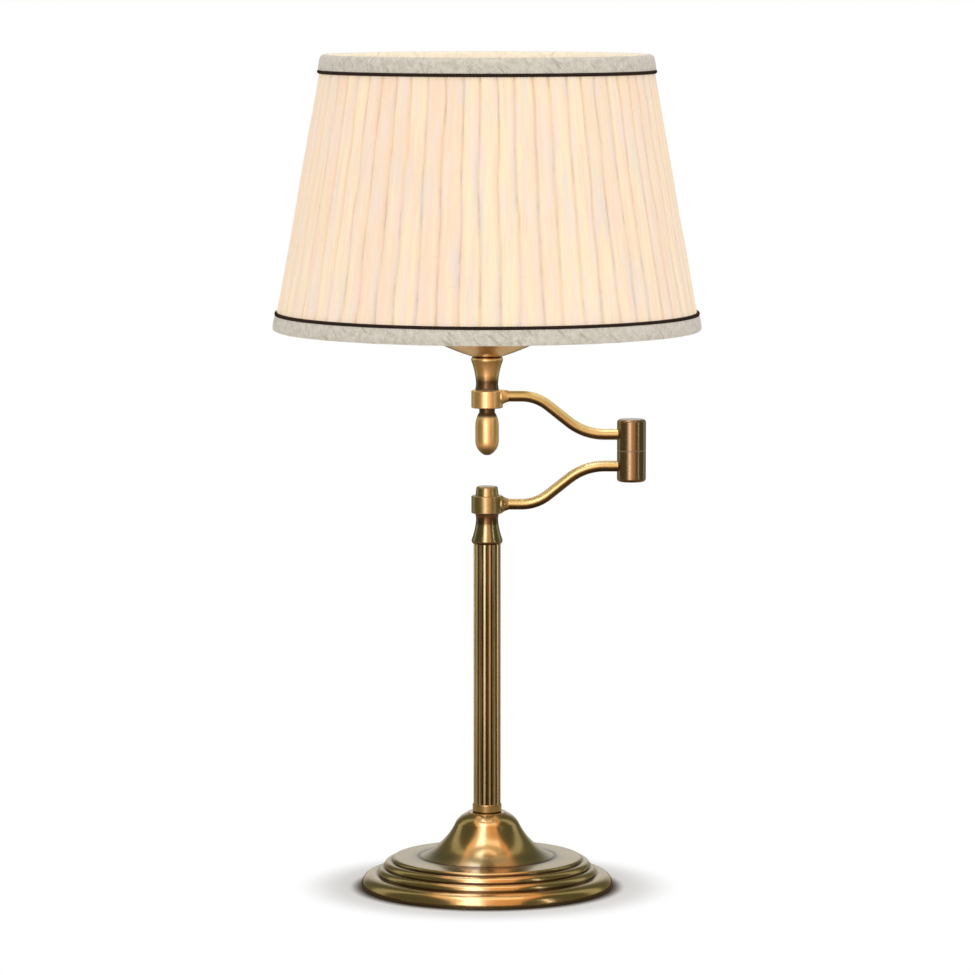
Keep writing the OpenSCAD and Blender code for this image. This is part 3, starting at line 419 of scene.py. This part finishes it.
dress(antique_brass("brass_base", grooves=base_grooves_and_shade), "base_shell")
dress(antique_brass("brass_neck", SATIN_BRASS, AMBER_FILM, rub=0.10, grooves=neck_grooves,
                    rough=0.30, coat=0.6), "neck")
dress(antique_brass("brass_cap", DULL_BRASS, rub=-0.34, grooves=cap_grooves, rough=0.13),
      "column_cap")
dress(antique_brass("brass_hubs", SATIN_BRASS, rub=0.30, grooves=finial_grooves, rough=0.41),
      "upper_hub", "finial")
dress(antique_brass("brass_dish", PALE_BRASS, rub=0.75, rough=0.30), "holder_dish")
dress(antique_brass("brass_dull", rub=-0.02, rough=0.28),
      "lower_hub", "lower_hub_cap", "foot_collar", "socket_cup", "socket_sleeve")
dress(fluted_brass("brass_column"), "fluted_column")
dress(antique_brass("brass_elbow", DARK_BRASS, BROWN_FILM, ELBOW_X, -0.25, rough=0.20, coat=0.8),
      "lower_elbow_barrel", "elbow_bottom_cap", "upper_elbow_barrel", "elbow_top_cap")
dress(drawn_brass("brass_arms"), "lower_arm_tube", "upper_arm_tube")
print("brass on the metal pieces")


# %% [markdown]
# ## The smaller finishes
# Most of these pieces hide inside the lamp, but each gets what it is made of: zinc plated steel,
# cast iron, moulded plastic, glazed porcelain, pressed board and the like. One recipe makes them
# all, with a fine and a broad noise that vary a colour by a small share.
# %% Plain finishes with their own texture
def plain(name, colour, rough, metallic=0.0, grain=400, depth=0.00004, spread=0.12, **more):
    """One material. Grain is how fine its specks are, and depth how high they stand."""
    skin = Finish(name)
    x, y, z = skin.place()
    speck = skin.noise(skin.point(x, y, z), grain, 3, 0.6)
    patch = skin.noise(skin.point(x, y, z), grain / 12, 2, 0.5)
    low = tuple(c * (1 - spread) for c in colour)
    high = tuple(min(c * (1 + spread), 1) for c in colour)
    varied = skin.mix((speck * 0.5 + patch * 0.5).between(0.3, 0.7), low, high)
    return skin.surface(Base_Color=varied, Metallic=metallic,
                        Roughness=rough + (patch - 0.5) * 0.15,
                        Normal=skin.bump(speck, depth, 0.5), **more)


dress(plain("zinc_plated_steel", (0.55, 0.55, 0.53), 0.35, 1.0),
      "plate_screws", "rod_washer", "rod_nut", "tie_rod", "lower_pivot_screw", "elbow_pivot_pin",
      "elbow_spring_washer", "elbow_nut", "stem_pipe", "stem_lock_nut", "bulb_contact",
      "switch_shaft")
dress(plain("bulb_cap_metal", (0.72, 0.72, 0.70), 0.30, 1.0), "bulb_cap")
dress(plain("plain_brass", (0.70, 0.50, 0.22), 0.3, 1.0), "screw_shell", "centre_contact")
dress(plain("cast_iron", (0.09, 0.09, 0.09), 0.7, 0.6, 250, 0.0003, 0.3), "base_weight")
dress(plain("black_sheet_steel", (0.03, 0.03, 0.03), 0.5), "bottom_plate")
dress(plain("black_moulding", (0.022, 0.020, 0.018), 0.35),
      "cord_inlet_bush", "shade_rings", "switch_knob", "bulb_insulator")
dress(plain("pale_nylon", (0.66, 0.63, 0.56), 0.4), "lower_pivot_washers", "upper_pivot_washers")
dress(plain("amber_nylon", (0.30, 0.215, 0.12), 0.4), "elbow_seam_washer")
dress(plain("lead_jacket", (0.72, 0.68, 0.56), 0.45),
      "base_lead", "lower_arm_lead", "upper_arm_lead", "stem_lead")
dress(plain("pressed_board", (0.40, 0.28, 0.16), 0.85, 0.0, 600, 0.0001, 0.25), "socket_liner")
dress(plain("glazed_porcelain", (0.80, 0.78, 0.72), 0.12, 0.0, 60, 0.00002, 0.05,
            Coat_Weight=0.5), "socket_core")
dress(plain("white_wire", (0.74, 0.71, 0.64), 0.35, 0.0, 500, 0.00005, 0.08),
      "shade_fitter", "top_frame_ring")
print("small finishes done")

# %% [markdown]
# The frosted bulb glows by a faint emission, and so does the stiff lining round it, which is
# palest at the bulb's height. A light inside the shade could do it too, but its rays would have to
# pass the frost and the lining, and the picture would be grainy.
# %% The bulb and the lining that it lights
BULB_Z, BULB_REACH = 0.487, 0.045
LIT_Z, LIT_REACH = 0.49, 0.11
BULB_GLOW, LINING_GLOW = 0.75, 0.22

frost = Finish("frosted_bulb")
bulb_x, bulb_y, bulb_z = frost.place()
bulb_up = bulb_z - BULB_Z
from_middle = (bulb_x * bulb_x + bulb_y * bulb_y + bulb_up * bulb_up).root()
hot = 1 - (from_middle / BULB_REACH).held() * 0.35
bulb_colour = frost.mix(hot, (0.95, 0.60, 0.28), (1.0, 0.86, 0.62))
dress(frost.surface(Base_Color=(0.9, 0.88, 0.82), Roughness=0.45, Emission_Color=bulb_colour,
                    Emission_Strength=BULB_GLOW), "bulb_glass")

lining = Finish("lit_lining")
lining_x, lining_y, lining_z = lining.place()
near_bulb = 1 - ((lining_z - LIT_Z).maths("ABSOLUTE") / LIT_REACH).held() * 0.45
fibres = lining.noise(lining.point(lining_x, lining_y, lining_z), 320, 4, 0.7)
lining_colour = lining.mix(fibres.between(0.35, 0.65), (0.80, 0.74, 0.62), (0.88, 0.83, 0.72))
lining_light = lining.mix(near_bulb, (0.42, 0.24, 0.10), (1.0, 0.78, 0.50))
dress(lining.surface(Base_Color=lining_colour, Roughness=0.6, Emission_Color=lining_light,
                     Emission_Strength=LINING_GLOW, Normal=lining.bump(fibres, 0.0001, 0.4)),
      "shade_liner")
print("bulb and lining done")

# %% [markdown]
# ## The shade's outline
# Every cloth piece follows one curve: the shade's radius at each height, as the solids have it.
# The sides are hollow by 0.4 mm at half height.
# %% Radius of the shade at a height over its lower edge
SHADE_Z, SHADE_H = 0.3937, 0.1915
LOW_R, TOP_R, HOLLOW = 0.150, 0.1155, 0.0004


def shade_r(h):
    t = h / SHADE_H
    return LOW_R + (TOP_R - LOW_R) * t - 4 * HOLLOW * t * (1 - t)


def make_mesh(name, points, faces, material, body):
    """A smooth mesh of one material that rides on a body."""
    mesh = bpy.data.meshes.new(name)
    mesh.from_pydata([tuple(p) for p in points], [], [tuple(f) for f in faces])
    mesh.update()
    mesh.polygons.foreach_set("use_smooth", [True] * len(mesh.polygons))
    mesh.materials.append(material)
    piece = bpy.data.objects.new(name, mesh)
    bpy.context.scene.collection.objects.link(piece)
    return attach(piece, body)


def grid_faces(rows, columns, closed_rows=False):
    """Faces of a grid of points that closes round its columns, and round its rows if asked."""
    r = np.arange(rows if closed_rows else rows - 1)[:, None]
    c = np.arange(columns)[None, :]
    r2, c2 = (r + 1) % rows, (c + 1) % columns
    corners = [r * columns + c, r * columns + c2, r2 * columns + c2, r2 * columns + c]
    return np.stack(corners, -1).reshape(-1, 4)


outline = [round(shade_r(h), 4) for h in (0, SHADE_H / 2, SHADE_H)]
print("radius at the foot, middle and top:", outline)

# %% [markdown]
# ## The pleated cloth
# Sixty-two soft knife pleats run from band to band. Each is laid by hand, so no two are as wide,
# as deep or as straight. Cloth could be draped over the shade by a simulation, but the bands hold
# each pleat at both ends, so it would come out much the same. The folds are laid by a formula,
# which gives the same result each time. The mesh has fourteen columns of points to a pleat. Two
# numbers kept on its points, how deep in a fold a point is and a tone for each pleat, later tint
# the cloth, and the fold depth also places painted shade in the folds.
# %% Lay the pleats
PLEATS, STEPS, ROWS = 62, 14, 46
UNDER_BAND = 0.0052
COVER_IN, PLEAT_DEPTH, PUFF, SWAY = 0.0011, 0.0024, 0.00035, 0.0075
KNOTS = 8

rng = np.random.default_rng(62)
widths = 1 + rng.uniform(-0.13, 0.13, PLEATS)
starts = np.concatenate([[0], np.cumsum(widths)])[:-1] / widths.sum()
spans = widths / widths.sum()
depths = rng.uniform(0.55, 1.15, PLEATS)
tones = rng.uniform(0, 1, PLEATS)
heights = np.linspace(UNDER_BAND, SHADE_H - UNDER_BAND, ROWS)

fold_at = np.array([0, 0.04, 0.10, 0.22, 0.45, 0.70, 0.86, 0.94, 0.98, 1.0])
fold_in = np.array([1.0, 0.45, 0.14, 0.02, 0.0, 0.07, 0.24, 0.52, 0.85, 1.0])


def slow_wave(count, seed):
    """A smooth random line up the shade for each pleat, between -1 and 1."""
    knots = np.random.default_rng(seed).uniform(-1, 1, (count, KNOTS))
    place = np.linspace(0, KNOTS - 1.001, ROWS)
    k = place.astype(int)
    ease = (1 - np.cos((place - k) * math.pi)) / 2
    return knots[:, k] * (1 - ease) + knots[:, k + 1] * ease


sway = slow_wave(PLEATS, 5)
swell = slow_wave(PLEATS, 9)
points, fold_depth, pleat_tone = [], [], []
for j, h in enumerate(heights):
    for i in range(PLEATS):
        after = (i + 1) % PLEATS
        for s in range(STEPS):
            t = s / STEPS
            shift = (1 - t) * sway[i, j] + t * sway[after, j]
            angle = 2 * math.pi * (starts[i] + spans[i] * t) + shift * SWAY
            own = float(np.interp(t, fold_at, fold_in))
            deep = depths[i] * (1 - t) + depths[after] * t
            inward = PLEAT_DEPTH * own * deep * (0.85 + 0.15 * swell[i, j])
            puff = PUFF * swell[i, j] * math.sin(math.pi * t)
            r = shade_r(h) - COVER_IN - inward + puff
            points.append((r * math.cos(angle), r * math.sin(angle), SHADE_Z + h))
            fold_depth.append(own)
            pleat_tone.append(tones[i])
print("pleat points:", len(points))

# %% [markdown]
# The cloth is a thin slub weave, lit from behind by the bulb. Light through it is warm cream, with
# yellow and peach patches and a few dark slubs. Painted shade darkens one side of each pleat softly
# and lays broken grey-brown lines in the folds. The glow is written as a faint emission, so the
# shade looks lit in any room.
# %% Weave the shade cloth
MEAN_R, WARP_PITCH, WEFT_PITCH = 0.132, 0.0011, 0.0009
PEACH, CREAM, ROSE = (0.82, 0.615, 0.455), (0.84, 0.70, 0.48), (0.81, 0.645, 0.565)
WARM_GREY, SIDE_SHADE_COLOUR = (0.655, 0.625, 0.585), (0.70, 0.50, 0.34)
FOLD_SHADE_COLOUR, SLUB_BROWN = (0.42, 0.36, 0.31), (0.38, 0.27, 0.16)
UNLIT_BROWN, CLOTH_GLOW = (0.45, 0.26, 0.12), 0.40

cloth = Finish("pleated_cloth")
cloth_x, cloth_y, cloth_z = cloth.place()
turn = cloth_y.turn_to(cloth_x)
fold = cloth.add("ShaderNodeAttribute", {"attribute_name": "fold"}, out="Fac")
tone = cloth.add("ShaderNodeAttribute", {"attribute_name": "tone"}, out="Fac")
up = (cloth_z - SHADE_Z) / SHADE_H


def cloth_noise(often_round, often_up, layer, detail, roughness):
    """Noise drawn out over the cloth, by how often it changes round and up the shade."""
    at = cloth.point(turn * often_round, cloth_z * often_up, layer)
    return cloth.noise(at, 1.0, detail, roughness)


streak = cloth_noise(34, 15, 0, 4, 0.65)
patch = cloth_noise(26, 18, 4, 3, 0.6)
grey = cloth_noise(24, 13, 9, 3, 0.6)
break_up = cloth_noise(30, 34, 6, 3, 0.7)
slub_up = cloth_noise(260, 60, 0, 1, 0.5).between(0.70, 0.80)
slub_round = cloth_noise(14, 900, 2, 1, 0.5).between(0.72, 0.82)
warp = (turn * (2 * math.pi * MEAN_R / WARP_PITCH)).sine()
weft = (cloth_z * (2 * math.pi / WEFT_PITCH)).sine()
weave = warp * 0.5 + weft * 0.5

two_tone = cloth.mix((streak * 0.85 + tone * 0.15).between(0.36, 0.66), PEACH, CREAM)
with_rose = cloth.mix(patch.between(0.48, 0.64) * 0.80, two_tone, ROSE)
# Grey patches come at random, a little stronger in the folds as painted shade.
grey_share = grey.between(0.52, 0.66) * (0.45 + fold.between(0.0, 0.3) * 0.30)
greyed = cloth.mix(grey_share, with_rose, WARM_GREY)
# Painted shade: a soft darker side on each pleat, and broken grey-brown lines deep in the folds.
painted_side_shade = cloth.mix(fold.between(0.02, 0.50) * 0.30, greyed, SIDE_SHADE_COLOUR)
painted_fold_shade = fold.between(0.15, 0.95) * (0.06 + break_up.between(0.44, 0.66) * 0.94)
shaded = cloth.mix(painted_fold_shade * 0.44, painted_side_shade, FOLD_SHADE_COLOUR)
slubs = (slub_up * 0.5 + slub_round * 0.35).held() * 0.5
specked = cloth.mix(slubs, shaded, SLUB_BROWN)
lit = 0.84 + (1 - up) * 0.10 + streak * 0.06
glowing = cloth.mix(lit.held(), UNLIT_BROWN, specked)
pleated = cloth.surface(
    Base_Color=specked, Roughness=0.85, Emission_Color=glowing, Emission_Strength=CLOTH_GLOW,
    Sheen_Weight=0.15, Normal=cloth.bump(weave * 0.3 + slub_up + slub_round, 0.00012, 0.5))
print("shade cloth of", len(cloth.tree.nodes), "nodes")

# %% Hang the cloth on the shade
cover = make_mesh("pleated_shade_cloth", points, grid_faces(ROWS, PLEATS * STEPS), pleated, "holder")
for name, values in (("fold", fold_depth), ("tone", pleat_tone)):
    cover.data.attributes.new(name, "FLOAT", "POINT").data.foreach_set("value", values)
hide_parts("pleated_cover")

# %% [markdown]
# ## The linen bands
# A bias strip of coarse linen is folded over each edge of the shade, from the piping outside,
# round the frame's wire, to the lining inside. It is a soft strip: a little fuller between its
# edges, round at the fold and never quite even. Its way over the edge is drawn once as a path of
# points and carried round the shade, so both bands are folded the same way.
# %% Weave the linen
BAND_R, SLANT_A, SLANT_B = 0.135, 0.0016, 0.0013
OUTSIDE_LIT, INSIDE_LIT = (0.075, 0.068, 0.055), (0.40, 0.345, 0.25)

linen = Finish("linen_band")
band_x, band_y, band_z = linen.place()
around = band_y.turn_to(band_x) * BAND_R
along, across = around + band_z, around - band_z
slant_a = (along * (2 * math.pi / SLANT_A)).sine()
slant_b = (across * (2 * math.pi / SLANT_B)).sine()
thread = linen.noise(linen.point(along, across * 0.25, 0), 900, 3, 0.7)
stroke = linen.noise(linen.point(along, across * 0.18, 3), 260, 2, 0.5)
mottle = linen.noise(linen.point(band_x, band_y, band_z), 260, 4, 0.7)
broad_mottle = linen.noise(linen.point(band_x, band_y, band_z), 60, 3, 0.6)
grain = thread * 0.35 + mottle * 0.65
mixed = linen.mix(grain.between(0.36, 0.62), (0.56, 0.51, 0.42), (0.80, 0.74, 0.64))
stroked = linen.mix(stroke.between(0.58, 0.70) * 0.65, mixed, (0.36, 0.31, 0.25))
linen_colour = linen.mix(broad_mottle.between(0.4, 0.7) * 0.4, stroked, (0.70, 0.655, 0.56))
facing = linen.place("Normal")
from_axis = (band_x * band_x + band_y * band_y).root()
# Painted light: the side of the band that faces the bulb glows by a faint warm emission, the outside
# only faintly.
faces_in = 0 - (facing[0] * band_x + facing[1] * band_y) / from_axis
lit_linen = linen.mix(faces_in.between(0.0, 0.5), OUTSIDE_LIT, INSIDE_LIT)
relief = slant_a * 0.35 + slant_b * 0.35 + thread + mottle * 0.6 + stroke * 2
linen_cloth = linen.surface(
    Base_Color=linen_colour, Roughness=0.9, Emission_Color=lit_linen, Emission_Strength=1.0,
    Sheen_Weight=0.2, Normal=linen.bump(relief, 0.0003, 0.6))
print("linen of", len(linen.tree.nodes), "nodes")

# %% Fold the bands
FOLD = 0.006
BAND_STEPS, BAND_KNOTS = 260, 40
WAVE_OUT, WAVE_UP = 0.00012, 0.00008

outer_face = [(-0.00035, 0.0109), (0.0001, 0.0103), (0.0002, 0.0085), (0.00025, 0.006),
              (0.0002, 0.0035), (0.0, 0.0018)]
turn_over = [(-0.0007, 0.0007), (-0.0018, 0.00015), (-0.003, 0.0), (-0.0042, 0.00015),
             (-0.0053, 0.0007)]
inner_face = [(-FOLD, 0.0018), (-FOLD - 0.0002, 0.004), (-FOLD - 0.0002, 0.0075),
              (-FOLD, 0.0103), (-FOLD + 0.0004, 0.0108)]


def band_path(edge, to):
    """Offsets from the shade's radius, and heights, from the outer cut edge to the inner one."""
    return [(o, edge + to * h) for o, h in outer_face + turn_over + inner_face]


def fold_band(name, edge, to, node, seed):
    """The band at the height edge. It reaches up from there if to is 1, and down if it is -1."""
    path = band_path(edge, to)
    knots = np.random.default_rng(seed).uniform(-1, 1, BAND_KNOTS)
    knot_at = np.linspace(0, BAND_STEPS, BAND_KNOTS + 1)
    wave = np.interp(np.arange(BAND_STEPS), knot_at, np.append(knots, knots[0]))
    band_points = []
    for k, (off, h) in enumerate(path):
        waved = WAVE_OUT if 0 < k < len(outer_face) else 0
        for i in range(BAND_STEPS):
            angle = 2 * math.pi * i / BAND_STEPS
            r = shade_r(h) + off + waved * wave[i]
            z = SHADE_Z + h + WAVE_UP * wave[(i * 3) % BAND_STEPS]
            band_points.append((r * math.cos(angle), r * math.sin(angle), z))
    # The lower band's faces are turned over, so that those of both bands look outward.
    faces = grid_faces(len(path), BAND_STEPS)[:, ::-to]
    band = make_mesh(name, band_points, faces, linen_cloth, "holder")
    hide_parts(node)
    area = sum(p.area for p in band.data.polygons)
    length = 2 * math.pi * shade_r(edge)
    round(area / length, 4)
    print(name, "strip", round(length, 3), "by", round(area / length, 4))


fold_band("bottom_band_linen", 0.0, 1, "bottom_band", 3)
fold_band("top_band_linen", SHADE_H, -1, "top_band", 4)

# %% [markdown]
# ## The piping
# A thin dark brown cord of two twisted strands covers the outer cut edge of each band. It is sewn
# down all along, so it never hangs. A curve with a round section would be smooth, so the cord is
# swept round the shade with a section of two lobes that turns as it goes.
# %% Twist the piping
BAND_H, CORD_OVER = 0.0107, 0.00105
CORD_IN, CORD_R, LOBE = 0.0009, 0.00146, 0.10
CORD_LAY, STEPS_A_TWIST, SECTION = 0.0045, 9, 10

piping_skin = Finish("dark_piping")
cord_x, cord_y, cord_z = piping_skin.place()
fuzz = piping_skin.noise(piping_skin.point(cord_x, cord_y, cord_z), 1400, 3, 0.7)
cord_colour = piping_skin.mix(fuzz.between(0.3, 0.7), (0.016, 0.009, 0.006), (0.036, 0.020, 0.013))
dark_cord = piping_skin.surface(Base_Color=cord_colour, Roughness=0.9, Specular_IOR_Level=0.2,
                                Normal=piping_skin.bump(fuzz, 0.0001, 0.6))


def twist_piping(name, h, node):
    """The cord whose middle lies at the height h over the shade's lower edge."""
    ring_r = shade_r(h) - CORD_IN
    turns = round(2 * math.pi * ring_r / CORD_LAY)
    steps = turns * STEPS_A_TWIST
    cord_points = []
    for i in range(steps):
        angle = 2 * math.pi * i / steps
        for k in range(SECTION):
            about = 2 * math.pi * k / SECTION
            lobe = CORD_R * ((1 - LOBE) + LOBE * math.cos(2 * (about - turns * angle)))
            r = ring_r + lobe * math.cos(about)
            z = SHADE_Z + h + lobe * math.sin(about)
            cord_points.append((r * math.cos(angle), r * math.sin(angle), z))
    # The faces are turned over, so that they look outward.
    faces = grid_faces(steps, SECTION, closed_rows=True)[:, ::-1]
    cord = make_mesh(name, cord_points, faces, dark_cord, "holder")
    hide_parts(node)
    print(name, turns, "twists")


twist_piping("bottom_piping_cord", BAND_H + CORD_OVER, "bottom_piping")
twist_piping("top_piping_cord", SHADE_H - BAND_H - CORD_OVER, "top_piping")

# %% [markdown]
# ## The felt
# The base stands on a felt disc. Its edge is cut, so it is a little rounded and hairy, and only a
# line of it shows under the rim. A small notch at the back leaves room for the cord's inlet. The
# solid's own disc could be kept, but its edge is sharp.
# %% Cut the felt
FELT_R, FELT_T = 0.083, 0.002
NOTCH_HALF, NOTCH_Y = 0.0034, 0.0805
FELT_STEPS = 192

felt_skin = Finish("green_felt")
felt_x, felt_y, felt_z = felt_skin.place()
hairs = felt_skin.noise(felt_skin.point(felt_x, felt_y, felt_z), 900, 4, 0.8)
felt_colour = felt_skin.mix(hairs.between(0.3, 0.7), (0.018, 0.040, 0.026), (0.045, 0.085, 0.055))
felt_cloth = felt_skin.surface(Base_Color=felt_colour, Roughness=0.95, Sheen_Weight=0.3,
                               Normal=felt_skin.bump(hairs, 0.0004, 0.8))

felt_path = [(0, 0.0), (0.03, 0.0), (0.06, 0.0), (FELT_R - 0.0012, 0.0), (FELT_R - 0.0003, 0.0003),
             (FELT_R, 0.0009), (FELT_R - 0.0002, 0.0016), (FELT_R - 0.0009, FELT_T),
             (0.06, FELT_T), (0.03, FELT_T), (0, FELT_T)]
felt_points = []
for r, z in felt_path:
    for i in range(FELT_STEPS):
        angle = 2 * math.pi * i / FELT_STEPS
        reach = r
        if abs(r * math.cos(angle)) < NOTCH_HALF and r * math.sin(angle) > NOTCH_Y:
            reach = NOTCH_Y / math.sin(angle)
        felt_points.append((reach * math.cos(angle), reach * math.sin(angle), z))
felt = make_mesh("felt_disc", felt_points, grid_faces(len(felt_path), FELT_STEPS), felt_cloth, "base")
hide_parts("felt_pad")
print("felt", FELT_R * 2, "m across")
